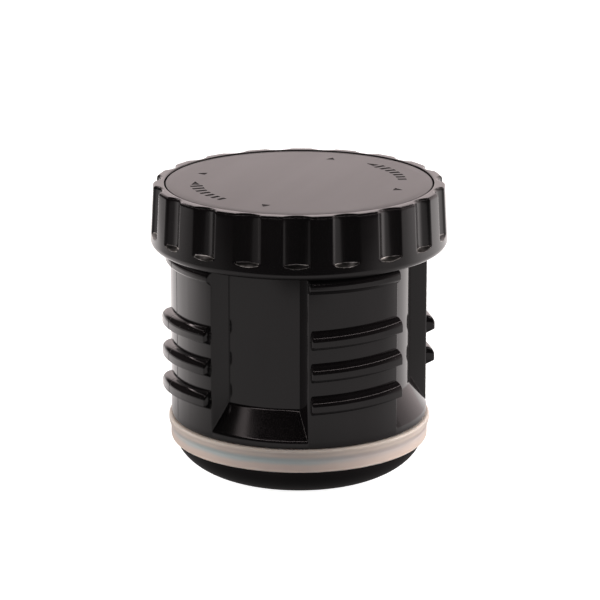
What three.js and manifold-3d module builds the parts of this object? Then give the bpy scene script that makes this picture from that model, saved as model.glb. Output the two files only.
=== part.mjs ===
// Screw stopper of a vacuum jug: a fluted head with an inset disc, screwed down onto a hollow threaded
// body with four pouring channels, a translucent seal ring under the body's flange, and a rounded base
// cup that holds the ring from below. Foam fills the head and the body.
// Millimetres, +Z up. The origin is the middle of the underside. One pouring channel faces -Y.

import * as THREE from 'three';
import { mergeVertices } from 'three/addons/utils/BufferGeometryUtils.js';
import Module from 'manifold-3d';

const wasm = await Module();
wasm.setup();

// ---------------------------------------------------------------- driving dimensions

const total_height = 62.0;
const clearance = 0.3; // between neighbouring pieces
const contact_gap = 0.1; // where one piece is pressed against another
const wall = 2.1; // plastic wall
const turn = 2 * Math.PI;
const facets = 72; // around a round piece
const small_facets = 24; // around a screw hole
const post_facets = 32;
const over = 1.0; // how far a cutter runs past the face it cuts

const head = {
  height: 13.1,
  rim_radius: 30.4, // at the top edge
  widest_radius: 31.05, // near the bottom edge
  flutes: 19,
  flute_start: -72.1, // degrees, where one of them lies
  flute_depth: 1.15,
  flute_width: 4.9,
  flute_top_share: 0.77, // part of the height that the flutes run down
  edge_round: 1.2,
  top_round: 0.6,
  recess_chamfer: 0.2,
  scoop_share: 0.6, // height of a flute's sloping foot, as a share of the flute's depth
  bore_radius: 26.4,
  recess_radius: 28.1,
  recess_depth: 0.1,
};

const disc = { thickness: 2.0, skirt_height: 1.8, skirt_wall: 1.4, chamfer: 0.15 };

const marks = {
  depth: 0.25,
  circle_radius: 21.6,
  triangle_size: 1.9,
  run_middle: 133, // degrees from +Y to the middle of the first run of bars
  arrow_length: 2.8,
  arrow_width: 1.8,
  bars: 7,
  bar_step: 5.4, // degrees from bar to bar
  bar_width: 1.0,
  bar_length: 2.6, // of the longest bar
  bar_shortest: 0.7, // share of that
};

const body = {
  pad_radius: 27.0,
  floor_radius: 23.5, // of a pouring channel
  channels: 4,
  channel_half_angle: 22.8, // degrees, at the pad radius
  floor_half_angle: 19.1, // degrees, at the channel floor
  flange_top: 13.7,
  flange_bottom: 12.2,
  flange_chamfer: 0.3,
  ramp_top: 19.6,
};

const collar = { bottom: 45.0, top: 47.85, stand_out: 1.1, top_round: 1.0, bottom_slope: 0.95 };

const thread = {
  stand_out: 1.9, // of the crest from a pad, and the radius that rounds the upper flank
  pitch: 6.9,
  height_at_front: 34.9, // of the crest's upper edge in the topmost turn, over the channel that faces -Y
  first_segment: -9, // counted in pads down from the topmost one
  crest_height: 1.15,
  lower_slope: 0.9, // height over which the lower flank falls back to the pad
  end_gap: 0.9, // degrees left free at each end of a pad
  end_taper: 2.2, // degrees over which a segment rises to full height
  steps: 12, // along one segment
  root_depth: 0.8, // how far a segment reaches into the pad
};

const boss = { radius: 2.7, circle_radius: 22.7, depth: 14, hole_radius: 1.3 };
const screw = {
  shank_radius: 1.0,
  shank_length: 11,
  point_length: 1.5,
  head_radius: 2.4,
  head_height: 1.6,
  slot_width: 0.6,
  slot_depth: 0.96,
};

const seat = { radius: 22.4 }; // the cylinder that the seal ring sits on
const spigot = { radius: 19.6, groove_radius: 18.3, bottom: 2.6, chamfer: 0.5 };
const ring = {
  lip_radius: 27.7,
  lip_height: 1.9,
  lip_slope: 0.4, // height over which the ring widens to its lip
  lip_round: 0.5,
  foot_round: 0.6,
  outer_radius: 27.2,
  lip_thickness: 1.1,
  groove_depth: 2.2, // behind the lip, which lets it bend
  groove_width: 0.8, // at the bottom
  groove_slope: 0.7,
};
const base = { radius: 26.1, top: 7.0, flat_radius: 16.0, roundness: 1.7, floor: 2.2 };
const o_ring = { section_radius: 0.7, height: 4.6, facets: 48 };
const gasket = { thickness: 0.8, margin: 0.6, side_margin: 1.2 }; // the last in degrees, at a channel

// ---------------------------------------------------------------- sizes that follow

const head_bottom = total_height - head.height;
const head_floor_top = head_bottom + wall;
const disc_top = total_height - head.recess_depth;
const disc_bottom = disc_top - disc.thickness;
const body_top = head_bottom - gasket.thickness - 2 * contact_gap;
const channel_step = turn / body.channels;
const channel_step_degrees = 360 / body.channels;
const pad_angle = channel_step_degrees - 2 * body.channel_half_angle; // degrees
const rad = (degrees) => (degrees * Math.PI) / 180;

// ---------------------------------------------------------------- solids

function solid(geometry) {
  const bare = geometry.index ? geometry.toNonIndexed() : geometry.clone();
  for (const name of Object.keys(bare.attributes)) {
    if (name !== 'position') bare.deleteAttribute(name);
  }
  const welded = mergeVertices(bare, 1e-4);
  return new wasm.Manifold(
    new wasm.Mesh({
      numProp: 3,
      vertProperties: new Float32Array(welded.attributes.position.array),
      triVerts: new Uint32Array(welded.index.array),
    }),
  );
}

function geometry_of(manifold) {
  const mesh = manifold.getMesh();
  const geometry = new THREE.BufferGeometry();
  const points = new Float32Array(mesh.numVert * 3);
  for (let i = 0; i < mesh.numVert; i += 1) {
    for (let k = 0; k < 3; k += 1) points[3 * i + k] = mesh.vertProperties[mesh.numProp * i + k];
  }
  geometry.setAttribute('position', new THREE.BufferAttribute(points, 3));
  geometry.setIndex(new THREE.BufferAttribute(new Uint32Array(mesh.triVerts), 1));
  return geometry;
}

// A solid of revolution about Z from a closed outline of [radius, height] points, listed anticlockwise.
function revolve(outline, around = facets) {
  const points = [...outline, outline[0]].map(([r, z]) => new THREE.Vector2(r, z));
  const geometry = new THREE.LatheGeometry(points, around);
  geometry.rotateX(Math.PI / 2);
  return solid(geometry);
}

// A straight prism between two heights from an outline of [x, y] points.
function prism(outline, bottom, top) {
  const shape = new THREE.Shape(outline.map(([x, y]) => new THREE.Vector2(x, y)));
  const geometry = new THREE.ExtrudeGeometry(shape, { depth: top - bottom, bevelEnabled: false });
  geometry.translate(0, 0, bottom);
  return solid(geometry);
}

function cylinder(radius, bottom, top, around = facets) {
  return revolve([[0, bottom], [radius, bottom], [radius, top], [0, top]], around);
}

function turned(manifold, angle) {
  const { elements } = new THREE.Matrix4().makeRotationZ(angle);
  return manifold.transform(Array.from(elements));
}

function moved(manifold, x, y, z) {
  const { elements } = new THREE.Matrix4().makeTranslation(x, y, z);
  return manifold.transform(Array.from(elements));
}

function polar(radius, degrees) {
  return [radius * Math.cos(rad(degrees)), radius * Math.sin(rad(degrees))];
}

function arc(radius, from, to, steps) {
  return Array.from({ length: steps + 1 }, (_, i) => polar(radius, from + ((to - from) * i) / steps));
}

// Points of a quarter round between two [radius, height] corners about a centre, by angle in degrees.
function fillet([r, z], radius, from, to, steps = 3) {
  return arc(radius, from, to, steps).map(([x, y]) => [r + x, z + y]);
}

function mesh_of(name, manifold, color, roughness, metalness = 0) {
  const geometry = geometry_of(manifold);
  geometry.computeVertexNormals();
  const material = new THREE.MeshStandardMaterial({ color, roughness, metalness });
  const mesh = new THREE.Mesh(geometry, material);
  mesh.name = name;
  return mesh;
}

// ---------------------------------------------------------------- head

// The flutes are upright round cutters on a slight slant, because the head widens downwards. Each one
// stops on a sloping scoop above the plain band at the foot of the head.
function flute_cutter() {
  const half = head.flute_width / 2;
  const radius = (half * half + head.flute_depth * head.flute_depth) / (2 * head.flute_depth);
  const flute_bottom = total_height - head.height * head.flute_top_share;
  const scoop = head.flute_depth * head.scoop_share;
  const centre = head.widest_radius + radius - head.flute_depth;
  const rod = revolve(
    [[0, flute_bottom + scoop], [radius - scoop, flute_bottom], [radius, flute_bottom + scoop],
      [radius, total_height + over], [0, total_height + over]],
    40,
  );
  const lean = Math.atan((head.widest_radius - head.rim_radius) / head.height);
  const { elements } = new THREE.Matrix4()
    .makeTranslation(centre, 0, flute_bottom)
    .multiply(new THREE.Matrix4().makeRotationY(-lean))
    .multiply(new THREE.Matrix4().makeTranslation(0, 0, -flute_bottom));
  return rod.transform(Array.from(elements));
}

function screw_places() {
  const first = channel_step_degrees / 2;
  return Array.from({ length: body.channels }, (_, i) => {
    return polar(boss.circle_radius, first + channel_step_degrees * i);
  });
}

function head_shell() {
  const foot = [head.widest_radius - head.edge_round, head_bottom + head.edge_round];
  const rim = [head.rim_radius - head.top_round, total_height - head.top_round];
  const outline = [
    [0, head_bottom],
    ...fillet(foot, head.edge_round, -90, 0),
    ...fillet(rim, head.top_round, 0, 90),
    [head.recess_radius + head.recess_chamfer, total_height],
    [head.recess_radius, total_height - head.recess_chamfer],
    [head.recess_radius, disc_bottom - clearance],
    [head.bore_radius, disc_bottom - clearance],
    [head.bore_radius, head_floor_top],
    [0, head_floor_top],
  ];
  let shell = revolve(outline, head.flutes * 5);
  const cutter = flute_cutter();
  for (let i = 0; i < head.flutes; i += 1) {
    shell = shell.subtract(turned(cutter, rad(head.flute_start) + (turn * i) / head.flutes));
  }
  for (const [x, y] of screw_places()) {
    const hole = cylinder(boss.hole_radius, head_bottom - over, head_floor_top + over, small_facets);
    shell = shell.subtract(moved(hole, x, y, 0));
  }
  return mesh_of('head_shell', shell, 0x17161a, 0.28);
}

// The marks: a triangle over each channel, and two arcs of bars with an arrow for the way to turn.
function triangle(width, length) {
  return [[-width / 2, -length / 2], [width / 2, -length / 2], [0, length / 2]];
}

function mark_cutters() {
  const low = disc_top - marks.depth;
  const high = disc_top + over;
  const place = (outline, degrees) => {
    const on_circle = moved(prism(outline, low, high), 0, marks.circle_radius, 0);
    return turned(on_circle, rad(degrees));
  };
  const cutters = [];
  for (let i = 0; i < body.channels; i += 1) {
    const pointer = triangle(marks.triangle_size, marks.triangle_size);
    cutters.push(place(pointer, channel_step_degrees * i));
  }
  for (const sense of [-1, 1]) {
    const middle = marks.run_middle + (sense > 0 ? 180 : 0);
    const start = middle - (sense * marks.bar_step * marks.bars) / 2;
    const tip = (-sense * marks.arrow_length) / 2;
    const half = marks.arrow_width / 2;
    const arrow = [[-tip, -half], [-tip, half], [tip, 0]];
    if (sense < 0) arrow.reverse();
    cutters.push(place(arrow, start + sense * marks.bar_step * (marks.bars + 0.3)));
    for (let b = 0; b < marks.bars; b += 1) {
      const growth = (b * (1 - marks.bar_shortest)) / (marks.bars - 1);
      const long = (marks.bar_length * (marks.bar_shortest + growth)) / 2;
      const wide = marks.bar_width / 2;
      const bar = [[-wide, -long], [wide, -long], [wide, long], [-wide, long]];
      cutters.push(place(bar, start + sense * marks.bar_step * b));
    }
  }
  return cutters;
}

function top_disc() {
  const radius = head.recess_radius - clearance;
  const skirt_radius = head.bore_radius - clearance;
  const outline = [
    [0, disc_bottom],
    [skirt_radius - disc.skirt_wall, disc_bottom],
    [skirt_radius - disc.skirt_wall, disc_bottom - disc.skirt_height],
    [skirt_radius, disc_bottom - disc.skirt_height],
    [skirt_radius, disc_bottom],
    [radius, disc_bottom],
    [radius, disc_top - disc.chamfer],
    [radius - disc.chamfer, disc_top],
    [0, disc_top],
  ];
  let plate = revolve(outline);
  for (const cutter of mark_cutters()) plate = plate.subtract(cutter);
  return mesh_of('top_disc', plate, 0x1b1a1c, 0.34);
}

function head_foam() {
  const skirt_inner = head.bore_radius - clearance - disc.skirt_wall;
  const low = head_floor_top + screw.head_height + 2 * clearance;
  const outline = [
    [0, low],
    [head.bore_radius - clearance, low],
    [head.bore_radius - clearance, disc_bottom - disc.skirt_height - clearance],
    [skirt_inner - clearance, disc_bottom - disc.skirt_height - clearance],
    [skirt_inner - clearance, disc_bottom - clearance],
    [0, disc_bottom - clearance],
  ];
  return mesh_of('head_foam', revolve(outline), 0xe9e6dc, 0.95);
}

function head_screw(index) {
  const seat_height = head_floor_top + contact_gap;
  const top = seat_height + screw.head_height;
  const tip = seat_height - screw.shank_length;
  const outline = [
    [0, tip],
    [screw.shank_radius * 0.4, tip],
    [screw.shank_radius, tip + screw.point_length],
    [screw.shank_radius, seat_height],
    [screw.head_radius, seat_height],
    [screw.head_radius, seat_height + screw.head_height / 2],
    [screw.head_radius * 0.6, top],
    [0, top],
  ];
  let piece = revolve(outline, 16);
  const arm = screw.head_radius * 0.62;
  const half = screw.slot_width / 2;
  for (const [x, y] of [[arm, half], [half, arm]]) {
    const slot = prism([[-x, -y], [x, -y], [x, y], [-x, y]], top - screw.slot_depth, top + over);
    piece = piece.subtract(slot);
  }
  const [x, y] = screw_places()[index];
  return mesh_of(`head_screw_${index + 1}`, moved(piece, x, y, 0), 0xa9adb2, 0.35, 1);
}

// ---------------------------------------------------------------- body

// One sector between the two side walls of a pouring channel that faces -Y, spread by `grow` degrees.
function channel_sector(grow, bottom, top) {
  const far = 40;
  const near = 10;
  const depth = body.pad_radius - body.floor_radius;
  const slope = (body.channel_half_angle - body.floor_half_angle) / depth;
  const half = (radius) => body.channel_half_angle + grow + slope * (radius - body.pad_radius);
  const left = [near, body.floor_radius, body.pad_radius, far].map((r) => polar(r, -90 - half(r)));
  const right = [far, body.pad_radius, body.floor_radius, near].map((r) => polar(r, -90 + half(r)));
  return prism([...left, ...right].reverse(), bottom, top);
}

function channel_cutter() {
  const outside = 45;
  const space = revolve([
    [body.floor_radius, body.ramp_top],
    [body.pad_radius, body.flange_top],
    [outside, body.flange_top],
    [outside, total_height],
    [body.floor_radius, total_height],
  ]);
  return channel_sector(0, body.flange_bottom, total_height).intersect(space);
}

// The hollow inside the body, made smaller by `shrink` for the foam that fills it: wide behind the four
// pads, round behind the channels, and stepped down through the ring's seat into the spigot.
function hollow(shrink, top) {
  const lobes_bottom = body.flange_bottom + wall;
  const seat_bottom = base.top + clearance + wall;
  const spread = ((wall + shrink) / body.pad_radius) * (180 / Math.PI);
  let lobes = cylinder(body.pad_radius - wall - shrink, lobes_bottom + shrink, top);
  for (let i = 0; i < body.channels; i += 1) {
    const sector = channel_sector(spread, lobes_bottom - over, top + over);
    lobes = lobes.subtract(turned(sector, channel_step * i));
  }
  const middle = cylinder(body.floor_radius - wall - shrink, lobes_bottom + shrink, top);
  const throat = cylinder(seat.radius - wall - shrink, seat_bottom + shrink, lobes_bottom + over);
  const foot_bottom = spigot.bottom + wall + shrink;
  const foot = cylinder(spigot.groove_radius - wall - shrink, foot_bottom, seat_bottom + over);
  return lobes.add(middle).add(throat).add(foot);
}

// The thread's cross-section as [share of the stand-out, height from the crest's upper edge]: a
// quarter-round upper flank, a flat crest and a steep lower flank. The first two points lie in the pad.
function thread_section() {
  const low = -thread.crest_height - thread.lower_slope;
  const section = [[0, thread.stand_out], [0, low], [1, -thread.crest_height]];
  for (const degrees of [0, 30, 60]) {
    section.push([Math.cos(rad(degrees)), thread.stand_out * Math.sin(rad(degrees))]);
  }
  return section;
}

// One run of thread across a pad: the section follows the helix and shrinks towards both ends.
function thread_segment(index) {
  const centre = -channel_step_degrees / 2 + channel_step_degrees * index;
  const half_span = pad_angle / 2 - thread.end_gap;
  const section = thread_section();
  const sides = section.length;
  const end_share = 0.3; // of the full section, at the very end
  const positions = [];
  for (let i = 0; i <= thread.steps; i += 1) {
    const degrees = centre - half_span + (2 * half_span * i) / thread.steps;
    const edge = half_span - Math.abs(degrees - centre);
    const rise = Math.sin((Math.min(1, edge / thread.end_taper) * Math.PI) / 2);
    const share = end_share + (1 - end_share) * rise;
    const height = thread.height_at_front + (thread.pitch * (degrees + 90)) / 360;
    for (const [out, up] of section) {
      const outwards = out > 0 ? thread.stand_out * out * share : -thread.root_depth;
      const [x, y] = polar(body.pad_radius + outwards, degrees);
      positions.push(x, y, height + up * share);
    }
  }
  const faces = [];
  for (let i = 0; i < thread.steps; i += 1) {
    for (let k = 0; k < sides; k += 1) {
      const here = sides * i + k;
      const next = sides * i + ((k + 1) % sides);
      faces.push(here, next + sides, next);
      faces.push(here, here + sides, next + sides);
    }
  }
  const last = sides * thread.steps;
  for (let k = 1; k < sides - 1; k += 1) {
    faces.push(0, k, k + 1);
    faces.push(last, last + k + 1, last + k);
  }
  const geometry = new THREE.BufferGeometry();
  geometry.setAttribute('position', new THREE.Float32BufferAttribute(positions, 3));
  geometry.setIndex(faces);
  return solid(geometry);
}

function pad_collar() {
  const outside = body.pad_radius + collar.stand_out;
  const inside = body.pad_radius - thread.root_depth;
  const round = collar.top_round;
  return revolve([
    [inside, collar.bottom],
    [body.pad_radius, collar.bottom],
    [outside, collar.bottom + collar.bottom_slope],
    ...fillet([outside - round, collar.top - round], round, 0, 90),
    [inside, collar.top],
  ]);
}

function stopper_body() {
  const groove = o_ring.section_radius + contact_gap;
  const outline = [
    [0, spigot.bottom],
    [spigot.radius - spigot.chamfer, spigot.bottom],
    [spigot.radius, spigot.bottom + spigot.chamfer],
    [spigot.radius, o_ring.height - groove],
    [spigot.groove_radius, o_ring.height - groove],
    [spigot.groove_radius, o_ring.height + groove],
    [spigot.radius, o_ring.height + groove],
    [spigot.radius, base.top + clearance],
    [seat.radius, base.top + clearance],
    [seat.radius, body.flange_bottom],
    [body.pad_radius - body.flange_chamfer, body.flange_bottom],
    [body.pad_radius, body.flange_bottom + body.flange_chamfer],
    [body.pad_radius, body_top],
    [0, body_top],
  ];
  let piece = revolve(outline).add(pad_collar());
  const cutter = channel_cutter();
  for (let i = 0; i < body.channels; i += 1) {
    piece = piece.subtract(turned(cutter, channel_step * i));
  }
  for (let s = thread.first_segment; s <= 0; s += 1) {
    piece = piece.add(thread_segment(s));
  }
  let inside = hollow(0, body_top + over);
  for (const [x, y] of screw_places()) {
    const post = cylinder(boss.radius, body_top - boss.depth, body_top + 2 * over, post_facets);
    inside = inside.subtract(moved(post, x, y, 0));
  }
  piece = piece.subtract(inside);
  for (const [x, y] of screw_places()) {
    const bottom = body_top - boss.depth + wall;
    const hole = cylinder(boss.hole_radius, bottom, body_top + over, small_facets);
    piece = piece.subtract(moved(hole, x, y, 0));
  }
  return mesh_of('stopper_body', piece, 0x17161a, 0.26);
}

function core_foam() {
  let piece = hollow(clearance, body_top - clearance);
  for (const [x, y] of screw_places()) {
    const low = body_top - boss.depth - clearance;
    const room = cylinder(boss.radius + clearance, low, body_top + over, post_facets);
    piece = piece.subtract(moved(room, x, y, 0));
  }
  return mesh_of('core_foam', piece, 0xe9e6dc, 0.95);
}

// A flat gasket between the head's floor and the top of the body, cut to the outline of the body.
function head_gasket() {
  const low = body_top + contact_gap;
  const high = head_bottom - contact_gap;
  const channel = channel_sector(gasket.side_margin, low - over, high + over);
  let piece = cylinder(body.pad_radius - gasket.margin, low, high);
  for (let i = 0; i < body.channels; i += 1) {
    piece = piece.subtract(turned(channel, channel_step * i));
  }
  piece = piece.add(cylinder(body.floor_radius - gasket.margin, low, high));
  piece = piece.subtract(cylinder(body.floor_radius - wall, low - over, high + over));
  for (const [x, y] of screw_places()) {
    const eye = cylinder(boss.radius, low, high, post_facets);
    piece = piece.add(moved(eye, x, y, 0));
  }
  for (const [x, y] of screw_places()) {
    const hole = cylinder(boss.hole_radius, low - over, high + over, small_facets);
    piece = piece.subtract(moved(hole, x, y, 0));
  }
  return mesh_of('head_gasket', piece, 0x1a1a1b, 0.7);
}

// ---------------------------------------------------------------- seal ring and base

function seal_ring() {
  const bottom = base.top + clearance;
  const top = body.flange_bottom - clearance;
  const bore = seat.radius + clearance;
  const lip_bottom = top - ring.lip_height;
  const root = ring.outer_radius - ring.lip_thickness;
  const groove_outer = root - ring.groove_slope;
  const outline = [
    [bore, bottom],
    ...fillet([ring.outer_radius - ring.foot_round, bottom + ring.foot_round], ring.foot_round, -90, 0),
    [ring.outer_radius, lip_bottom - ring.lip_slope],
    [ring.lip_radius, lip_bottom],
    ...fillet([ring.lip_radius - ring.lip_round, top - ring.lip_round], ring.lip_round, 0, 90),
    [root, top],
    [groove_outer, top - ring.groove_depth],
    [groove_outer - ring.groove_width, top - ring.groove_depth],
    [groove_outer - ring.groove_width - ring.groove_slope, top],
    [bore, top],
  ];
  return mesh_of('seal_ring', revolve(outline), 0xcfc6c0, 0.35);
}

function base_cup() {
  const steps = 10;
  const wide = base.radius - base.flat_radius;
  const rounded = Array.from({ length: steps + 1 }, (_, i) => {
    const angle = (i / steps) * (Math.PI / 2);
    const power = 2 / base.roundness;
    return [
      base.flat_radius + wide * Math.sin(angle) ** power,
      base.top * (1 - Math.cos(angle) ** power),
    ];
  });
  const bore = spigot.radius + clearance;
  const outline = [
    [0, 0],
    ...rounded,
    [bore, base.top],
    [bore, base.floor],
    [0, base.floor],
  ];
  return mesh_of('base_cup', revolve(outline), 0x141316, 0.25);
}

function base_o_ring() {
  const section = o_ring.section_radius;
  const middle = spigot.groove_radius + section + contact_gap;
  const outline = arc(section, 0, 360, 10)
    .slice(0, -1)
    .map(([x, y]) => [middle + x, o_ring.height + y]);
  return mesh_of('base_o_ring', revolve(outline, o_ring.facets), 0x2a2a2c, 0.6);
}

// ---------------------------------------------------------------- the whole stopper

const group = new THREE.Group();
group.name = 'vacuum_jug_stopper';
group.add(head_shell(), top_disc(), head_foam(), head_gasket());
for (let i = 0; i < body.channels; i += 1) group.add(head_screw(i));
group.add(stopper_body(), core_foam(), seal_ring(), base_cup(), base_o_ring());

export default group;
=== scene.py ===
"""Looks of the vacuum jug stopper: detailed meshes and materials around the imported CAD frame.

Metres throughout, +Z up, in the same frame as the CAD. The origin is the middle of the underside, and
one pouring channel faces -Y. Lengths below are written in millimetres times MM.
"""

import math

import bmesh
import bpy
import numpy as np
from mathutils import Matrix, Vector


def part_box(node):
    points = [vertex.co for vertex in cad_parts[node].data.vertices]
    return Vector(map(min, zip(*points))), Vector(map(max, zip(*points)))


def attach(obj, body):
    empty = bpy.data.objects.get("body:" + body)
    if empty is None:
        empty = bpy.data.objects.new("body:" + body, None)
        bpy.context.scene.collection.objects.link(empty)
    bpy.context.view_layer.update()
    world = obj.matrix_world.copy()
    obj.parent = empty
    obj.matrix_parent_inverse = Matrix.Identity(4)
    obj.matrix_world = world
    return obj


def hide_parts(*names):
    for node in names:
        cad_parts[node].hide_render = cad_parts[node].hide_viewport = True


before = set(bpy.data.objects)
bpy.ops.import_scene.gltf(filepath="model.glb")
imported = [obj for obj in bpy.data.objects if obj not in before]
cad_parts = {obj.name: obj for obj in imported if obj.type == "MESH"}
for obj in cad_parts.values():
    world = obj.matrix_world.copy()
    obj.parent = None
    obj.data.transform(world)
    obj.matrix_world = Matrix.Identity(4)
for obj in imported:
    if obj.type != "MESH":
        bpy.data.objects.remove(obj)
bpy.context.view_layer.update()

MM = 0.001

# ------------------------------------------------------------------ sizes

HEAD_LOW, HEAD_HIGH = (Vector(corner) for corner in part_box("head_shell"))
BODY_LOW, BODY_HIGH = (Vector(corner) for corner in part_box("stopper_body"))
RING_LOW, RING_HIGH = (Vector(corner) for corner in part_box("seal_ring"))
BASE_HIGH = Vector(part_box("base_cup")[1])
DISC_LOW, DISC_HIGH = (Vector(corner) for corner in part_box("top_disc"))

FLUTES = 19
FLUTE_START = -72.1  # degrees, where one of them lies
FLUTE_HALF_WIDTH = 2.45 * MM
FLUTE_DEPTH = 1.15 * MM
FLUTE_SHARE = 0.757  # of the head's height
FLUTE_BLEND = 1.6 * MM  # between a flute and the lands beside it
SHELF_SLOPE = 1.9  # of the shelf that ends a flute: how far it goes out per unit of height
SHELF_HEIGHT = 1.1 * MM
SHELF_ABOVE = 0.3 * MM  # how far above the shelf its dense rows go on
SHELF_BLEND = 0.2 * MM
SHELF_BLEND_DEPTH = 0.3 * MM  # depth of flute at which the shelf's edge has its full blend
HEAD_RIM = 30.4 * MM
HEAD_WIDEST = HEAD_HIGH.x
HEAD_EDGE_ROUND = 1.25 * MM
HEAD_RIM_ROUND = 0.7 * MM
LIP_ROUND = 0.22 * MM  # of the head's edge beside the disc
RECESS_RADIUS = 28.1 * MM
BORE_RADIUS = 26.4 * MM
WALL = 2.1 * MM
FLUTE_BOTTOM = HEAD_HIGH.z - (HEAD_HIGH.z - HEAD_LOW.z) * FLUTE_SHARE

DISC_GAP = 0.3 * MM  # to the head, beside and below
DISC_SKIRT = 1.8 * MM
DISC_SKIRT_WALL = 1.4 * MM
DISC_CROWN = 0.15 * MM  # how much higher its middle is than its edge
DISC_EDGE_ROUND = 0.18 * MM
MARK_DEPTH = 0.05 * MM
MARK_CIRCLE = 21.6 * MM
MARKS_WITHIN = 25.0 * MM

CHANNELS = 4
PAD_RADIUS = BODY_HIGH.x
FLOOR_RADIUS = 23.5 * MM
CHANNEL_HALF = 22.8  # degrees, at the pad radius
FLOOR_HALF = 19.1  # degrees, at the channel's floor
FLANGE_BOTTOM = 12.2 * MM
FLANGE_TOP = 13.7 * MM
RAMP_TOP = 19.6 * MM
BODY_TOP = BODY_HIGH.z
COLLAR_EDGE, COLLAR_OUT = 46.85 * MM, 1.1 * MM  # height of the face's upper edge, and its stand-out
COLLAR_FACE, COLLAR_FOOT = 0.9 * MM, 0.95 * MM
COLLAR_END = 0.8  # degrees over which it rounds off at the ends of a pad
RIB_SOFTNESS = 0.25 * MM  # between the flanks and the face of the collar and the thread
PAD_EDGE_ROUND = 0.4 * MM
RAMP_EDGE_ROUND = 0.12 * MM
FLANGE_EDGE = 0.3 * MM
SEAT_RADIUS = 22.4 * MM
SPIGOT_RADIUS = 19.6 * MM
SPIGOT_CHAMFER = 0.5 * MM
GROOVE_RADIUS, GROOVE_LOW, GROOVE_HIGH = 18.3 * MM, 3.8 * MM, 5.4 * MM  # for the O-ring

MOULD_LINES = (39.0, -141.0)  # degrees, where the halves of the mould met
MOULD_LINE_DEPTH, MOULD_LINE_WIDTH = 0.07 * MM, 0.2  # the width in degrees

THREAD_OUT = 1.9 * MM  # stand-out, and the radius that rounds the upper flank
THREAD_PITCH = 6.9 * MM
THREAD_AT_FRONT = 34.9 * MM  # height of the crest's upper edge
THREAD_SEGMENTS = 10
THREAD_FACE, THREAD_FOOT = 1.15 * MM, 0.9 * MM  # heights of the crest and of the lower flank
THREAD_END_GAP, THREAD_END_ROUND = 0.25 * MM, 0.45 * MM
THREAD_SHIFT = 0.15 * MM  # of each rib to the right, so that it ends close to the right edge of its pad

RING_SWELL = 0.22 * MM  # the ring is soft, and fills the gap its CAD solid leaves above and below
RING_LIP, RING_FOOT = 27.6 * MM, 27.15 * MM  # radii
RING_FOOT_ROUND, RING_LIP_ROUND = 0.55 * MM, 0.5 * MM
RING_STEP = (2.7 * MM, 1.1 * MM)  # how far below the top the widening to the lip starts and ends
RING_GROOVE = 2.2 * MM  # depth of the groove behind the lip
RING_GROOVE_MOUTH = (24.3 * MM, 26.5 * MM)  # its inner and outer radius at the top
RING_GROOVE_FLOOR = (25.0 * MM, 25.8 * MM)  # and at its floor
RING_BORE = SEAT_RADIUS + 0.1 * MM
PAINTED_COOL_SIDE = -7.0  # degrees from -Y, the middle of the seal ring's side with the painted cool band

BASE_FLAT = 16.0 * MM
BASE_ROUNDNESS = 2 / 1.7  # power of sine and cosine in its rounded outline
BASE_FLOOR = 2.2 * MM
BASE_BORE = SPIGOT_RADIUS + 0.3 * MM

CAMERA_AZIMUTH = 18.8  # degrees from -Y towards +X
CAMERA_ELEVATION = 16.0
CAMERA_DISTANCE = 664.6 * MM
CAMERA_LENS, CAMERA_SENSOR = 189.6, 36.0  # both in millimetres, as Blender has them
CAMERA_SHIFT = 0.0015
AIM_HEIGHT = 36.25 * MM

FLOOR_HALF_SIZE = 6.0
FLOOR_DROP = 0.0002
FILL_ELEVATION, FILL_DISTANCE, FILL_SIZE = 12, 0.7, 0.5


# ------------------------------------------------------------------ mesh helpers


def smooth_max(a, b, blend):
    """The larger of two values, rounded over `blend` where they are close."""
    share = np.clip(0.5 + 0.5 * (a - b) / blend, 0, 1)
    return b * (1 - share) + a * share + blend * share * (1 - share)


def smooth_min(a, b, blend):
    """The smaller of two values, rounded over `blend` where they are close."""
    return -smooth_max(-a, -b, blend)


def smooth_piece(name, points, faces, sharp_from):
    """An object from points and faces, shaded smooth, with the edges over `sharp_from` degrees sharp."""
    mesh = bpy.data.meshes.new(name)
    mesh.from_pydata(points, [], faces)
    work = bmesh.new()
    work.from_mesh(mesh)
    bmesh.ops.recalc_face_normals(work, faces=work.faces)
    work.to_mesh(mesh)
    work.free()
    mesh.shade_smooth()
    mesh.set_sharp_from_angle(angle=math.radians(sharp_from))
    piece = bpy.data.objects.new(name, mesh)
    bpy.context.collection.objects.link(piece)
    return piece


def closed_surface(name, radii, heights, angles):
    """A mesh from rings of points: radii and heights are rows by columns, and the first and last rows
    shrink to a point on the axis."""
    rows, columns = radii.shape
    x = radii * np.cos(angles)
    y = radii * np.sin(angles)
    points = np.stack([x, y, heights], axis=-1)
    body = points[1:-1].reshape(-1, 3)
    first = [0.0, 0.0, float(heights[0, 0])]
    last = [0.0, 0.0, float(heights[-1, 0])]
    vertices = np.vstack([body, first, last])
    inner = rows - 2
    here = np.arange(columns)
    there = (here + 1) % columns
    faces = []
    for row in range(inner - 1):
        low, high = row * columns, (row + 1) * columns
        faces.append(np.stack([low + here, low + there, high + there, high + here], axis=-1))
    quads = np.vstack(faces).tolist()
    start, end = inner * columns, inner * columns + 1
    top = (inner - 1) * columns
    quads += [[start, int(b), int(a)] for a, b in zip(here, there)]
    quads += [[end, int(top + a), int(top + b)] for a, b in zip(here, there)]
    return smooth_piece(name, vertices.tolist(), quads, 38)


def even_angles(columns):
    """Angles of evenly spaced columns once round."""
    return np.linspace(0, 2 * math.pi, columns, endpoint=False)


def lathe(name, profile, columns=288):
    """A solid of revolution from [radius, height] points that start and end on the axis."""
    radii = np.array([[point[0]] * columns for point in profile])
    heights = np.array([[point[1]] * columns for point in profile])
    return closed_surface(name, radii, heights, even_angles(columns))


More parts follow.
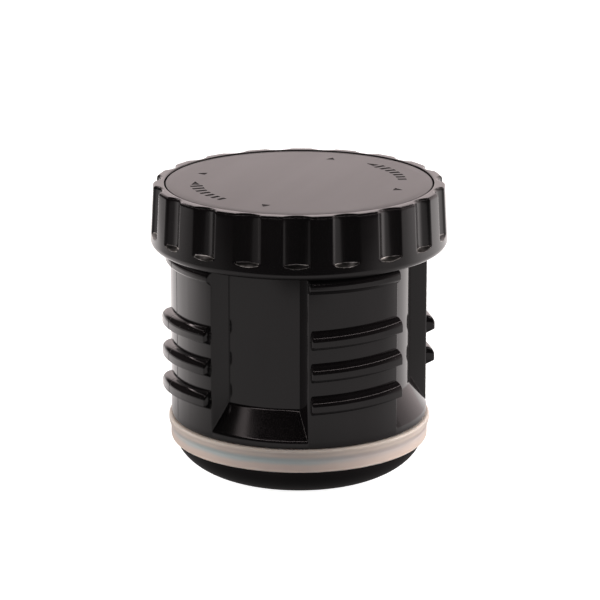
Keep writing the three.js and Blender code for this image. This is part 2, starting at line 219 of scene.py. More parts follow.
def round_corner(centre, radius, start, end, steps=6):
    """Points of an arc about (radius, height) centre, between two angles in degrees."""
    turns = [math.radians(start + (end - start) * i / steps) for i in range(steps + 1)]
    return [(centre[0] + radius * math.cos(t), centre[1] + radius * math.sin(t)) for t in turns]


def dense(profile, longest):
    """The same outline with points added so that no stretch is longer than `longest`."""
    points = [profile[0]]
    for start, end in zip(profile, profile[1:]):
        parts = max(1, math.ceil(math.dist(start, end) / longest))
        for i in range(1, parts + 1):
            points.append(tuple(a + (b - a) * i / parts for a, b in zip(start, end)))
    return points


# ------------------------------------------------------------------ materials


class Look:
    """A principled material whose colour, roughness and bump come from procedural nodes."""

    def __init__(self, name, **values):
        self.material = bpy.data.materials.new(name)
        self.material.use_nodes = True
        self.tree = self.material.node_tree
        self.shader = self.tree.nodes["Principled BSDF"]
        self.place = self.tree.nodes.new("ShaderNodeTexCoord")
        for socket, value in values.items():
            self.shader.inputs[socket.replace("_", " ")].default_value = value

    def node(self, kind, **values):
        node = self.tree.nodes.new(kind)
        for socket, value in values.items():
            node.inputs[socket.replace("_", " ")].default_value = value
        return node

    def link(self, source, target):
        self.tree.links.new(source, target)

    def noise(self, scale, detail=3.0, stretch=None):
        """Cloudy grey noise with about `scale` spots to the metre."""
        texture = self.node("ShaderNodeTexNoise", Scale=scale, Detail=detail)
        place = self.place.outputs["Object"]
        if stretch:
            mapping = self.node("ShaderNodeMapping", Scale=stretch)
            self.link(place, mapping.inputs["Vector"])
            place = mapping.outputs["Vector"]
        self.link(place, texture.inputs["Vector"])
        return texture.outputs["Fac"]

    def ramp(self, source, *stops):
        """Colours along a source from 0 to 1. Each stop is (position, colour)."""
        ramp = self.tree.nodes.new("ShaderNodeValToRGB")
        elements = ramp.color_ramp.elements
        while len(elements) < len(stops):
            elements.new(0.5)
        for element, (position, colour) in zip(elements, stops):
            element.position = position
            element.color = (*colour, 1)
        self.link(source, ramp.inputs["Fac"])
        return ramp.outputs["Color"]

    def colour(self, source):
        self.link(source, self.shader.inputs["Base Color"])

    def roughness(self, source, low, high):
        """Roughness that follows a source between two values."""
        spread = self.node("ShaderNodeMapRange", To_Min=low, To_Max=high)
        self.link(source, spread.inputs["Value"])
        self.link(spread.outputs["Result"], self.shader.inputs["Roughness"])

    def bumps(self, *layers):
        """Each layer is (height source, strength, distance)."""
        normal = None
        for source, strength, distance in layers:
            bump = self.node("ShaderNodeBump", Strength=strength, Distance=distance)
            self.link(source, bump.inputs["Height"])
            if normal is not None:
                self.link(normal, bump.inputs["Normal"])
            normal = bump.outputs["Normal"]
        self.link(normal, self.shader.inputs["Normal"])


def moulded_black(name, roughness, waviness):
    """Glossy black plastic with a faint flow pattern, soft sink marks and a fine grain."""
    look = Look(name, IOR=1.5)
    flow = look.noise(70.0, 4.0, stretch=(1, 1, 0.35))
    grain = look.noise(2600.0, 2.0)
    dark, light = (0.0022, 0.002, 0.0021), (0.0048, 0.004, 0.0043)
    look.colour(look.ramp(flow, (0.3, dark), (0.72, light)))
    look.roughness(look.noise(240.0, 5.0), roughness * 0.8, roughness * 1.3)
    look.bumps((look.noise(48.0, 2.0), waviness, 0.0006), (grain, 0.05, 0.00002))
    return look.material


def painted_highlight_plastic(name, dark, middle, light):
    """Painted highlight: plastic of the small shelves under the flutes, painted lighter grey, unevenly,
    where their edges catch bright reflections. The three numbers are shades of grey."""
    look = Look(name, IOR=1.5)
    greys = [(0.4, dark), (0.52, middle), (0.66, light)]
    stops = [(position, (grey, grey * 0.93, grey * 0.9)) for position, grey in greys]
    look.colour(look.ramp(look.noise(420.0, 4.0), *stops))
    look.roughness(look.noise(700.0), 0.25, 0.4)
    return look.material


def disc_black():
    """The disc in the head: the same plastic with a satin polish and faint wiping marks."""
    look = Look("disc_satin_black", IOR=1.5)
    wiped = look.noise(190.0, 5.0, stretch=(1, 0.12, 1))
    dark, light = (0.012, 0.010, 0.0102), (0.02, 0.0165, 0.0165)
    look.colour(look.ramp(wiped, (0.3, dark), (0.75, light)))
    look.roughness(wiped, 0.27, 0.34)
    look.bumps((look.noise(60.0, 2.0), 0.05, 0.0004), (look.noise(3000.0, 2.0), 0.08, 0.00002))
    return look.material


def silicone():
    """Milky translucent silicone with cloudy warm edges, painted lighter as highlights, and a cooler
    band at half height, which is painted light and shows on one side only."""
    look = Look(
        "silicone_milky",
        IOR=1.41,
        Subsurface_Weight=0.35,
        Subsurface_Radius=(0.9, 0.75, 0.65),
        Subsurface_Scale=0.0025,
        Transmission_Weight=0.25,
    )
    cloud = look.noise(160.0, 3.0)
    look.colour(ring_colour(look, cloud))
    look.roughness(cloud, 0.28, 0.42)
    look.bumps((look.noise(900.0, 3.0), 0.08, 0.00006))
    return look.material


def ring_colour(look, cloud):
    """The silicone's colour: by height, disturbed a little by a cloudy noise, with a cool band in the
    middle on one side of the ring and a warm one elsewhere. Its bands by height are partly painted
    light: a light line at the foot and a darker band under a lighter top edge stand in for highlights
    and shade. The cool band on one side is painted light as well."""
    place = look.place.outputs["Object"]
    parts = look.node("ShaderNodeSeparateXYZ")
    look.link(place, parts.inputs["Vector"])
    height = look.node("ShaderNodeMapRange", From_Min=RING_LOW.z, From_Max=RING_HIGH.z)
    look.link(parts.outputs["Z"], height.inputs["Value"])
    mixed = look.tree.nodes.new("ShaderNodeMath")
    mixed.operation = "MULTIPLY_ADD"
    mixed.inputs[1].default_value = 0.12
    look.link(cloud, mixed.inputs[0])
    look.link(height.outputs["Result"], mixed.inputs[2])
    # Painted highlight and shade: the foot's light line, and the darker band under the lighter top edge.
    # The rest is the silicone's own warm tone.
    foot_stops = [(0.06, (0.8, 0.69, 0.62)), (0.16, (0.56, 0.46, 0.41)), (0.36, (0.54, 0.46, 0.42))]
    lip_stops = [(0.8, (0.5, 0.44, 0.4)), (0.94, (0.4, 0.35, 0.32)), (1.0, (0.46, 0.41, 0.37))]
    warm_stops = [(0.5, (0.49, 0.44, 0.42)), (0.66, (0.48, 0.43, 0.42))]
    cool_stops = [(0.5, (0.4, 0.455, 0.46)), (0.66, (0.41, 0.455, 0.46))]
    warm, cool = (
        look.ramp(mixed.outputs["Value"], *foot_stops, *middle_stops, *lip_stops)
        for middle_stops in (warm_stops, cool_stops)
    )
    # The cool band is painted light, and fades in towards one side only.
    turn = math.radians(PAINTED_COOL_SIDE)
    towards = along_direction(look.tree, place, (math.sin(turn), -math.cos(turn), 0))
    far, near = 0.6 * RING_HIGH.x, 0.93 * RING_HIGH.x
    painted_coolness = look.node("ShaderNodeMapRange", From_Min=far, From_Max=near)
    look.link(towards, painted_coolness.inputs["Value"])
    blend = look.tree.nodes.new("ShaderNodeMixRGB")
    look.link(painted_coolness.outputs["Result"], blend.inputs["Fac"])
    look.link(warm, blend.inputs["Color1"])
    look.link(cool, blend.inputs["Color2"])
    return blend.outputs["Color"]


def foam():
    """Pale rigid foam with fine cells."""
    look = Look("rigid_foam", Subsurface_Weight=0.1, Subsurface_Scale=0.001)
    cells = look.node("ShaderNodeTexVoronoi", Scale=900.0)
    look.link(look.place.outputs["Object"], cells.inputs["Vector"])
    dark, light = (0.72, 0.69, 0.6), (0.86, 0.83, 0.76)
    look.colour(look.ramp(look.noise(300.0), (0.3, dark), (0.7, light)))
    look.roughness(cells.outputs["Distance"], 0.75, 0.98)
    look.bumps((cells.outputs["Distance"], 0.6, 0.0003))
    return look.material


def rubber(name, dark, light):
    """Matt rubber between two colours."""
    look = Look(name)
    look.colour(look.ramp(look.noise(500.0), (0.3, dark), (0.7, light)))
    look.roughness(look.noise(800.0, 4.0), 0.5, 0.75)
    look.bumps((look.noise(1800.0, 3.0), 0.25, 0.00005))
    return look.material


def screw_steel():
    """Steel with fine drawn lines."""
    look = Look("screw_steel_brushed", Metallic=1.0)
    lines = look.noise(1400.0, 3.0, stretch=(1, 1, 0.1))
    dark, light = (0.5, 0.5, 0.51), (0.72, 0.72, 0.73)
    look.colour(look.ramp(lines, (0.3, dark), (0.7, light)))
    look.roughness(lines, 0.22, 0.42)
    look.bumps((lines, 0.15, 0.00003))
    return look.material


def dress(piece, material, body, slot, *nodes):
    """Gives a new piece its body, and its material if it has none, and lets it stand for CAD nodes. The
    slot is not used."""
    if not piece.data.materials:
        piece.data.materials.append(material)
    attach(piece, body)
    if nodes:
        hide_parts(*nodes)


# ------------------------------------------------------------------ head


def flute_offset(angles, heights):
    """How far the flutes cut the head's side in, at each angle and height. They are wide and soft, and
    each one ends on a small sloping shelf with crisp edges."""
    step = 2 * math.pi / FLUTES
    across = ((angles - math.radians(FLUTE_START) + step / 2) % step - step / 2) * HEAD_WIDEST
    radius = (FLUTE_HALF_WIDTH**2 + FLUTE_DEPTH**2) / (2 * FLUTE_DEPTH)
    inside = np.sqrt(np.maximum(radius**2 - across**2, 0))
    beyond = np.maximum(np.abs(across) - FLUTE_HALF_WIDTH, 0)
    cut = smooth_min(radius - inside - FLUTE_DEPTH + beyond, 0 * across, FLUTE_BLEND)
    shelf = smooth_max(FLUTE_BOTTOM - heights, 0 * heights, SHELF_BLEND) * SHELF_SLOPE
    soft = SHELF_BLEND * np.clip(-cut / SHELF_BLEND_DEPTH, 0.01, 1)  # hardly any on the lands
    return smooth_min(cut + shelf, 0 * cut, soft)


def is_flute_shelf(face):
    """Whether a face of the head lies on the shelf at the foot of a flute."""
    step = 360 / FLUTES
    turn = math.degrees(math.atan2(face.center.y, face.center.x)) - FLUTE_START
    across = math.radians((turn + step / 2) % step - step / 2) * HEAD_WIDEST
    below = FLUTE_BOTTOM - face.center.z
    slack = 0.15 * MM
    least_upward = 0.22  # the side of the head faces up less than this
    in_flute = abs(across) < FLUTE_HALF_WIDTH and -slack < below < SHELF_HEIGHT
    return in_flute and face.normal.z > least_upward


def head_shell():
    """The fluted head, hollow, with the recess that takes the disc."""
    columns_per_flute = 44
    columns = FLUTES * columns_per_flute
    angles = even_angles(columns)
    edge, rim_round = HEAD_EDGE_ROUND, HEAD_RIM_ROUND
    low, high = HEAD_LOW.z, HEAD_HIGH.z
    disc_seat = DISC_LOW.z + DISC_SKIRT - DISC_GAP
    lean = (HEAD_RIM - HEAD_WIDEST) / (high - low - edge)

    rows = []  # each row is (radii, heights) around the head

    def plain(radius, height):
        rows.append((np.full(columns, radius), np.full(columns, height)))

    def side_radius(height):
        base = HEAD_WIDEST + lean * (height - low - edge)
        return base + flute_offset(angles, np.full(columns, height))

    plain(0, low)
    first, longest = 5 * MM, 3 * MM  # spacing of the points across the underside
    for radius, height in dense([(first, low), (HEAD_WIDEST - edge, low)], longest):
        plain(radius, height)
    for radius, height in round_corner((HEAD_WIDEST - edge, low + edge), edge, -90, 0, 9)[1:]:
        plain(radius, height)
    shelf_low, shelf_high = FLUTE_BOTTOM - SHELF_HEIGHT, FLUTE_BOTTOM + SHELF_ABOVE
    heights = list(np.linspace(low + edge, shelf_low, 5)[1:])
    heights += list(np.linspace(shelf_low, shelf_high, 22)[1:])
    heights += list(np.linspace(shelf_high, high - rim_round, 16)[1:])
    for height in heights:
        rows.append((side_radius(height), np.full(columns, height)))
    top = side_radius(high - rim_round)
    for turn in np.linspace(0, math.pi / 2, 8)[1:]:
        inward = rim_round * (1 - math.cos(turn))
        rows.append((top - inward, np.full(columns, high - rim_round * (1 - math.sin(turn)))))
    last = rows[-1][0]
    lip = RECESS_RADIUS + LIP_ROUND
    for share in (0.3, 0.65, 1.0):
        rows.append((last + (lip - last) * share, np.full(columns, high)))
    for radius, height in round_corner((lip, high - LIP_ROUND), LIP_ROUND, 90, 180, 4)[1:]:
        plain(radius, height)
    plain(RECESS_RADIUS, disc_seat)
    plain(BORE_RADIUS, disc_seat)
    plain(BORE_RADIUS, low + WALL)
    plain(0, low + WALL)
    radii = np.array([row[0] for row in rows])
    levels = np.array([row[1] for row in rows])
    piece = closed_surface("fluted_head", radii, levels, angles)
    piece.data.materials.append(moulded_black("head_gloss_black", 0.15, 0.10))
    # Painted highlights: the flute shelves' edges get a lighter grey, and their middles a fainter
    # painted sheen, in place of the reflections on them.
    piece.data.materials.append(painted_highlight_plastic("painted_highlight_edge_grey", 0.03, 0.12, 0.34))
    piece.data.materials.append(painted_highlight_plastic("painted_sheen_shelf_grey", 0.006, 0.02, 0.1))
    shelf_middle = 0.7  # the shelf's middle faces up more than this, and its edges less
    for face in piece.data.polygons:
        if is_flute_shelf(face):
            face.material_index = 1 if face.normal.z < shelf_middle else 2
    return piece


# ------------------------------------------------------------------ disc with its marks


def flat_prism(outline, low, high):
    """A bmesh prism from an outline of (x, y) points."""
    work = bmesh.new()
    bottom = [work.verts.new((x, y, low)) for x, y in outline]
    face = work.faces.new(bottom)
    grown = bmesh.ops.extrude_face_region(work, geom=[face])
    lifted = [item for item in grown["geom"] if isinstance(item, bmesh.types.BMVert)]
    bmesh.ops.translate(work, verts=lifted, vec=(0, 0, high - low))
    bmesh.ops.recalc_face_normals(work, faces=work.faces)
    return work


def mark_outlines():
    """The marks as (outline, turn about the axis): a pointer over each channel, and two graduated runs
    of bars that end in an arrow, one for each way to turn the stopper."""
    middle = MARK_CIRCLE
    half = 0.95 * MM  # of a pointer
    pointer = [(-half, middle - half), (half, middle - half), (0, middle + half)]
    marks = [(pointer, 90.0 * i) for i in range(CHANNELS)]
    bars, step = 7, 5.4  # the step in degrees
    run_middle = 133.0  # degrees
    half_width, shortest, growth = 0.5 * MM, 0.91 * MM, 0.065 * MM  # of the bars
    arrow_half, spread = 1.4 * MM, 0.9 * MM
    for side in (0, 1):
        sense = 1 if side else -1
        start = run_middle + 180.0 * side - sense * step * bars / 2
        back, tip = sense * arrow_half, -sense * arrow_half
        arrow = [(back, middle - spread), (back, middle + spread), (tip, middle)]
        marks.append((arrow, start + sense * step * (bars + 0.3)))
        for i in range(bars):
            low, high = middle - shortest - growth * i, middle + shortest + growth * i
            bar = [(-half_width, low), (half_width, low), (half_width, high), (-half_width, high)]
            marks.append((bar, start + sense * step * i))
    return marks


def mark_cutters(low, high):
    """One object with an upright prism for every mark, to cut them out of the disc."""
    cutters = bmesh.new()
    for outline, degrees in mark_outlines():
        prism = flat_prism(outline, low, high)
        turn = Matrix.Rotation(math.radians(degrees), 3, "Z")
        bmesh.ops.rotate(prism, verts=prism.verts, matrix=turn)
        single = bpy.data.meshes.new("mark")
        prism.to_mesh(single)
        prism.free()
        cutters.from_mesh(single)
        bpy.data.meshes.remove(single)
    mesh = bpy.data.meshes.new("marks")
    cutters.to_mesh(mesh)
    cutters.free()
    marks = bpy.data.objects.new("marks", mesh)
    bpy.context.collection.objects.link(marks)
    return marks


def top_disc():
    """The disc in the head, slightly domed, with a skirt underneath and its marks engraved."""
    radius, crown, edge = DISC_HIGH.x, DISC_CROWN, DISC_EDGE_ROUND
    level, mark_floor = HEAD_HIGH.z - crown, HEAD_HIGH.z - crown - MARK_DEPTH
    bottom = DISC_LOW.z + DISC_SKIRT
    skirt_outer = BORE_RADIUS - DISC_GAP
    skirt_inner = skirt_outer - DISC_SKIRT_WALL
    profile = [(0, level + crown)]
    for share in np.linspace(0.08, 1, 14):
        profile.append(((radius - edge) * share, level + crown * (1 - share**2)))
    profile += round_corner((radius - edge, level - edge), edge, 90, 0, 4)[1:]
    profile += [(radius, bottom), (skirt_outer, bottom), (skirt_outer, DISC_LOW.z)]
    profile += [(skirt_inner, DISC_LOW.z), (skirt_inner, bottom), (0, bottom)]
    piece = lathe("marked_disc", profile, 240)
    marks = mark_cutters(mark_floor, level + MM)
    engrave = piece.modifiers.new("engrave", "BOOLEAN")
    engrave.operation = "DIFFERENCE"
    engrave.solver = "EXACT"
    engrave.object = marks
    apply_modifiers(piece)
    bpy.data.objects.remove(marks)
    piece.data.set_sharp_from_angle(angle=math.radians(25))
    piece.data.materials.append(disc_black())
    piece.data.materials.append(rubber("mark_matt_black", (0.004, 0.004, 0.004), (0.008, 0.008, 0.008)))
    slack, least_depth = 0.01 * MM, 0.03 * MM  # a face sunk at least this deep lies in a mark
    for face in piece.data.polygons:
        middle = face.center
        outwards = math.hypot(middle.x, middle.y)
        top_there = level + crown * (1 - (outwards / radius) ** 2)
        sunk = mark_floor - slack < middle.z < top_there - least_depth
        face.material_index = 1 if sunk and outwards < MARKS_WITHIN else 0
    return piece


def apply_modifiers(piece):
    """Makes a piece's modifiers permanent."""
    graph = bpy.context.evaluated_depsgraph_get()
    made = bpy.data.meshes.new_from_object(piece.evaluated_get(graph))
    piece.modifiers.clear()
    piece.data = made


# ------------------------------------------------------------------ body


def body_angles():
    """Columns round the body: close together at the channel walls, the ends of the thread and the mould
    lines. A stretch is (first angle, last angle, columns), in degrees from the middle of a channel."""
    near_edge, past_edge = CHANNEL_HALF - 0.8, CHANNEL_HALF + 1.4  # of the pad
    on_pad = CHANNEL_HALF + 3.2
    seam, beside_seam = MOULD_LINES[0], MOULD_LINE_WIDTH * 3
    stretches = [(0, FLOOR_HALF, 3), (FLOOR_HALF, near_edge, 14), (near_edge, past_edge, 12)]
    stretches += [(past_edge, on_pad, 3), (on_pad, seam - beside_seam, 5)]
    stretches += [(seam - beside_seam, seam + beside_seam, 8), (seam + beside_seam, 45, 2)]
    half = np.concatenate([np.linspace(a, b, n, endpoint=False) for a, b, n in stretches])
    quarter = np.concatenate([half, [45.0], 90 - half[1:][::-1]])
    full = np.concatenate([quarter + 90 * i for i in range(CHANNELS)])
    return np.radians(full - 90)


def pad_offset(degrees):
    """Degrees from the middle of the nearest pad, -45 to 45."""
    return (degrees + 45 + 45) % 90 - 45


def channel_offset(degrees):
    """Degrees from the middle of the nearest channel, 0 to 45."""
    return np.abs((degrees + 90 + 45) % 90 - 45)


def bead(up, out, face, foot, soft):
    """The stand-out of a rib at a height above its crest's upper edge: a quarter-round upper flank,
    a straight face and a short foot."""
    upper = out * np.sqrt(np.clip(1 - (np.maximum(up, 0) / np.maximum(out, 1e-9)) ** 2, 0, 1))
    lower = (up + face + foot) * out / foot
    rise = smooth_min(upper, lower, soft)
    return np.maximum(rise, 0)


def thread_height(degrees, height):
    """How far the thread stands out of the pads. It is one helix, broken at the channels."""
    total = np.zeros_like(height)
    pad_half = 45 - CHANNEL_HALF
    half_length = math.radians(pad_half) * PAD_RADIUS - THREAD_END_GAP
    for segment in range(THREAD_SEGMENTS):
        centre = -45.0 - 90.0 * segment
        off = (degrees - centre + 180) % 360 - 180
        level = THREAD_AT_FRONT + THREAD_PITCH * (centre + off + 90) / 360
        along = np.abs(np.radians(off) * PAD_RADIUS - THREAD_SHIFT)
        left = np.clip((half_length - along) / THREAD_END_ROUND, 0, 1)
        share = np.sqrt(1 - (1 - left) ** 2)
        middle = level - THREAD_FACE / 2
        size = np.maximum(share, 1e-3)
        up = (height - middle) / size - THREAD_FACE / 2
        rise = bead(up, THREAD_OUT + 0 * up, THREAD_FACE, THREAD_FOOT, RIB_SOFTNESS) * share
        total = np.maximum(total, rise)
    return total


def outer_radius(angles, height):
    """The body's outside: pads, channels with their ramps, collar, thread and two faint mould lines."""
    degrees = np.degrees(angles)
    from_channel = channel_offset(degrees)
    steep = (PAD_RADIUS - FLOOR_RADIUS) / (CHANNEL_HALF - FLOOR_HALF)
    side = FLOOR_RADIUS + (from_channel - FLOOR_HALF) * steep
    ramp = PAD_RADIUS + (FLANGE_TOP - height) * (PAD_RADIUS - FLOOR_RADIUS) / (RAMP_TOP - FLANGE_TOP)
    into_pad = np.clip((45 - CHANNEL_HALF - np.abs(pad_offset(degrees))) / COLLAR_END, 0, 1)
    share = np.sqrt(1 - (1 - into_pad) ** 2)
    stand_out = COLLAR_OUT + 0 * height
    collar = bead(height - COLLAR_EDGE, stand_out, COLLAR_FACE, COLLAR_FOOT, RIB_SOFTNESS)
    radius = np.maximum(0 * side + FLOOR_RADIUS, side)
    radius = smooth_max(radius, ramp, RAMP_EDGE_ROUND)
    rounder_above = FLANGE_TOP + 1.2 * MM
    edge = np.where(height > rounder_above, PAD_EDGE_ROUND, RAMP_EDGE_ROUND)
    radius = smooth_min(radius, 0 * radius + PAD_RADIUS, edge)
    mould_line = np.zeros_like(radius)
    for at in MOULD_LINES:
        off = (degrees - at + 180) % 360 - 180
        mould_line -= MOULD_LINE_DEPTH * np.exp(-((off / MOULD_LINE_WIDTH) ** 2))
    return radius + collar * share + thread_height(degrees, height) + mould_line


def row_lean(angles, height):
    """How far a row of points is shifted up or down, so that the rows run along the thread. The shift
    fades away beside a pad, under the collar and above the flange."""
    off = pad_offset(np.degrees(angles))
    full, none = 22.3, 26  # degrees from the middle of the pad
    highest, fade_above = 44.9 * MM, 2.4 * MM
    lowest, fade_below = 14.2 * MM, 3.0 * MM
    along = np.clip((none - np.abs(off)) / (none - full), 0, 1)
    above = np.clip((highest - height) / fade_above, 0, 1)
    below = np.clip((height - lowest) / fade_below, 0, 1)
    return THREAD_PITCH * off / 360 * along * min(above, below)


def threaded_body():
    """The hollow body in one mesh: rows inside from the bottom up, over the rim, down the outside with
    the pads, channels and thread, and on down the ring's seat and the spigot."""
    angles = body_angles()
    columns = len(angles)
    narrow_to, wide_from = 23, 27.5  # degrees from the middle of a channel
    wide = np.clip((channel_offset(np.degrees(angles)) - narrow_to) / (wide_from - narrow_to), 0, 1)
    hollow = FLOOR_RADIUS - WALL + (PAD_RADIUS - FLOOR_RADIUS) * wide
    rows = []

    def plain(radius, height):
        rows.append((np.full(columns, radius), np.full(columns, height)))

    spigot_low = BODY_LOW.z
    seat_low = RING_LOW.z
    plain(0, spigot_low + WALL)
    plain(GROOVE_RADIUS - WALL, spigot_low + WALL)
    plain(GROOVE_RADIUS - WALL, seat_low + WALL)
    plain(SEAT_RADIUS - WALL, seat_low + WALL)
    plain(SEAT_RADIUS - WALL, FLANGE_BOTTOM + WALL)
    rows.append((hollow, np.full(columns, FLANGE_BOTTOM + WALL)))
    rows.append((hollow, np.full(columns, BODY_TOP)))
    outer_top = outer_radius(angles, np.full(columns, BODY_TOP))
    rows.append((hollow * 0.5 + outer_top * 0.5, np.full(columns, BODY_TOP)))
    rows_per_quarter_turn = 12
    fine = THREAD_PITCH / CHANNELS / rows_per_quarter_turn  # so the ribs on all pads meet the same rows
    rib_top = THREAD_AT_FRONT + THREAD_PITCH * 45 / 360 + THREAD_OUT
    many, just_below = 200, 0.02 * MM  # more rows than the body is high
    levels = [BODY_TOP - just_below]
    levels += [rib_top + fine * k for k in range(many, -many, -1)]
    levels += [FLANGE_TOP]
    for level in levels:
        if FLANGE_TOP <= level < BODY_TOP:
            height = level + row_lean(angles, level)
            rows.append((outer_radius(angles, height), height))
    corner = (PAD_RADIUS - FLANGE_EDGE, FLANGE_BOTTOM + FLANGE_EDGE)
    for radius, height in round_corner(corner, FLANGE_EDGE, 0, -90, 5):
        plain(radius, height)
    plain(SEAT_RADIUS, FLANGE_BOTTOM)
    plain(SEAT_RADIUS, seat_low)
    plain(SPIGOT_RADIUS, seat_low)
    plain(SPIGOT_RADIUS, GROOVE_HIGH)
    plain(GROOVE_RADIUS, GROOVE_HIGH)
    plain(GROOVE_RADIUS, GROOVE_LOW)
    plain(SPIGOT_RADIUS, GROOVE_LOW)
    plain(SPIGOT_RADIUS, spigot_low + SPIGOT_CHAMFER)
    plain(SPIGOT_RADIUS - SPIGOT_CHAMFER, spigot_low)
    plain(0, spigot_low)
    radii = np.array([row[0] for row in rows])
    levels = np.array([row[1] for row in rows])
    return closed_surface("threaded_body", radii, levels, angles)


# ------------------------------------------------------------------ seal ring and base


def closed_ring(name, profile, columns=320):
    """A ring from a closed outline of (radius, height) points."""
    angles = even_angles(columns)
    points = [(r * math.cos(a), r * math.sin(a), z) for r, z in profile for a in angles]
    count = len(profile)
    faces = []
    for row in range(count):
        low, high = row * columns, (row + 1) % count * columns
        for i in range(columns):
            j = (i + 1) % columns
            faces.append((low + i, low + j, high + j, high + i))
    return smooth_piece(name, points, faces, 40)


def seal_ring():
    """The soft ring: a slightly wider lip at the top, a groove behind the lip, and a plain foot."""
    low, high = RING_LOW.z - RING_SWELL, RING_HIGH.z + RING_SWELL
    step_low, step_high = (high - depth for depth in RING_STEP)
    foot_round, lip_round = RING_FOOT_ROUND, RING_LIP_ROUND
    profile = [(RING_BORE, low)]
    profile += round_corner((RING_FOOT - foot_round, low + foot_round), foot_round, -90, 0, 7)
    for share in np.linspace(0, 1, 9):
        ease = share * share * (3 - 2 * share)
        radius = RING_FOOT + (RING_LIP - RING_FOOT) * ease
        profile.append((radius, step_low + (step_high - step_low) * share))
    profile += round_corner((RING_LIP - lip_round, high - lip_round), lip_round, 0, 90, 7)
    groove_floor = high - RING_GROOVE
    profile += [(RING_GROOVE_MOUTH[1], high), (RING_GROOVE_FLOOR[1], groove_floor)]
    profile += [(RING_GROOVE_FLOOR[0], groove_floor), (RING_GROOVE_MOUTH[0], high)]
    profile.append((RING_BORE, high))
    return closed_ring("silicone_ring", profile)


def base_cup():
    """The rounded base, flat underneath, with the bore that takes the body's spigot."""
    flat, wide, high = BASE_FLAT, BASE_HIGH.x, BASE_HIGH.z
    power, steps = BASE_ROUNDNESS, 40
    profile = [(0, 0)]
    for i in range(steps + 1):
        turn = i / steps * math.pi / 2
        radius = flat + (wide - flat) * math.sin(turn) ** power
        profile.append((radius, high * (1 - math.cos(turn) ** power)))
    profile += [(BASE_BORE, high), (BASE_BORE, BASE_FLOOR), (0, BASE_FLOOR)]
    return lathe("rounded_base", profile, 320)


# ------------------------------------------------------------------ stage, light and camera


def direction_at(azimuth, elevation):
    """A direction away from the object. The azimuth is 0 towards -Y, and both angles are in degrees."""
    turn, rise = math.radians(azimuth), math.radians(elevation)
    return Vector((math.sin(turn) * math.cos(rise), -math.cos(turn) * math.cos(rise), math.sin(rise)))


def facing_camera(elevation):
    """The direction from the object towards the camera's side of the room, at a given elevation."""
    return direction_at(CAMERA_AZIMUTH, elevation)


UPWARDS = Vector((0, 0, 1))
LEFTWARDS = facing_camera(0).cross(UPWARDS)


def along_direction(tree, place, direction):
    """How far a position, or a direction, goes along a given direction."""
    node = tree.nodes.new("ShaderNodeVectorMath")
    node.operation = "DOT_PRODUCT"
    node.inputs[1].default_value = direction
    tree.links.new(place, node.inputs[0])
    return node.outputs["Value"]


def faded(tree, value, start, end, bright, dim):
    """A smooth change from a strength `bright` to a strength `dim` as a value goes from start to end."""
    fade = tree.nodes.new("ShaderNodeMapRange")
    fade.interpolation_type = "SMOOTHSTEP"
    for name, number in (("From Min", start), ("From Max", end), ("To Min", bright), ("To Max", dim)):
        fade.inputs[name].default_value = number
    tree.links.new(value, fade.inputs["Value"])
    return fade.outputs["Result"]


def combined(tree, operation, first, second):
    """The result of a two-input maths node."""
    node = tree.nodes.new("ShaderNodeMath")
    node.operation = operation
    tree.links.new(first, node.inputs[0])
    tree.links.new(second, node.inputs[1])
    return node.outputs["Value"]


def table_glow(tree):
    """How bright the floor is in reflections. It is dim right beside the object, where the object shades
    it, white behind and beside it, and dark beyond the table's front edge."""
    place = tree.nodes.new("ShaderNodeTexCoord").outputs["Object"]
    away = tree.nodes.new("ShaderNodeVectorMath")
    away.operation = "LENGTH"
    tree.links.new(place, away.inputs[0])
    forward = along_direction(tree, place, facing_camera(0))
    sideways = along_direction(tree, place, LEFTWARDS)
    # Each call below says where along its value the change starts and ends, in metres, and the
    # strengths before and after it.
    shade = faded(tree, away.outputs["Value"], 0.02, 0.085, 0.1, 1.0)
    front = faded(tree, forward, 0.17, 0.205, 0.52, 0.03)
    back = faded(tree, forward, -0.07, 0.05, 0.95, 0.0)
    left = faded(tree, sideways, 0.175, 0.205, 1.0, 0.4)
    strength = combined(tree, "ADD", front, back)
    strength = combined(tree, "MULTIPLY", strength, shade)
    return combined(tree, "MULTIPLY", strength, left)


def pale_floor():
    """The camera sees the floor white, with the object's soft shadow. Reflections see its glow."""
    material = bpy.data.materials.new("pale_floor")
    material.use_nodes = True
    tree = material.node_tree
    tree.nodes.clear()
    table = tree.nodes.new("ShaderNodeEmission")
    table.inputs["Color"].default_value = (1.0, 0.94, 0.93, 1)
    tree.links.new(table_glow(tree), table.inputs["Strength"])
    white = tree.nodes.new("ShaderNodeEmission")
    white.inputs["Strength"].default_value = 0.93
    shaded = tree.nodes.new("ShaderNodeBsdfDiffuse")
    shaded.inputs["Color"].default_value = (0.5, 0.5, 0.5, 1)
    lit = tree.nodes.new("ShaderNodeAddShader")
    tree.links.new(white.outputs["Emission"], lit.inputs[0])
    tree.links.new(shaded.outputs["BSDF"], lit.inputs[1])
    mix = tree.nodes.new("ShaderNodeMixShader")
    tree.links.new(tree.nodes.new("ShaderNodeLightPath").outputs["Is Camera Ray"], mix.inputs["Fac"])
    tree.links.new(table.outputs["Emission"], mix.inputs[1])
    tree.links.new(lit.outputs["Shader"], mix.inputs[2])
    out = tree.nodes.new("ShaderNodeOutputMaterial")
    tree.links.new(mix.outputs["Shader"], out.inputs["Surface"])
    return material


def stage():
    """A plain pale floor."""
    size = FLOOR_HALF_SIZE
    mesh = bpy.data.meshes.new("floor")
    corners = [(-size, -size, 0), (size, -size, 0), (size, size, 0), (-size, size, 0)]
    mesh.from_pydata(corners, [], [(0, 1, 2, 3)])
    mesh.materials.append(pale_floor())
    floor = bpy.data.objects.new("floor", mesh)
    floor.location.z = -FLOOR_DROP
    bpy.context.collection.objects.link(floor)


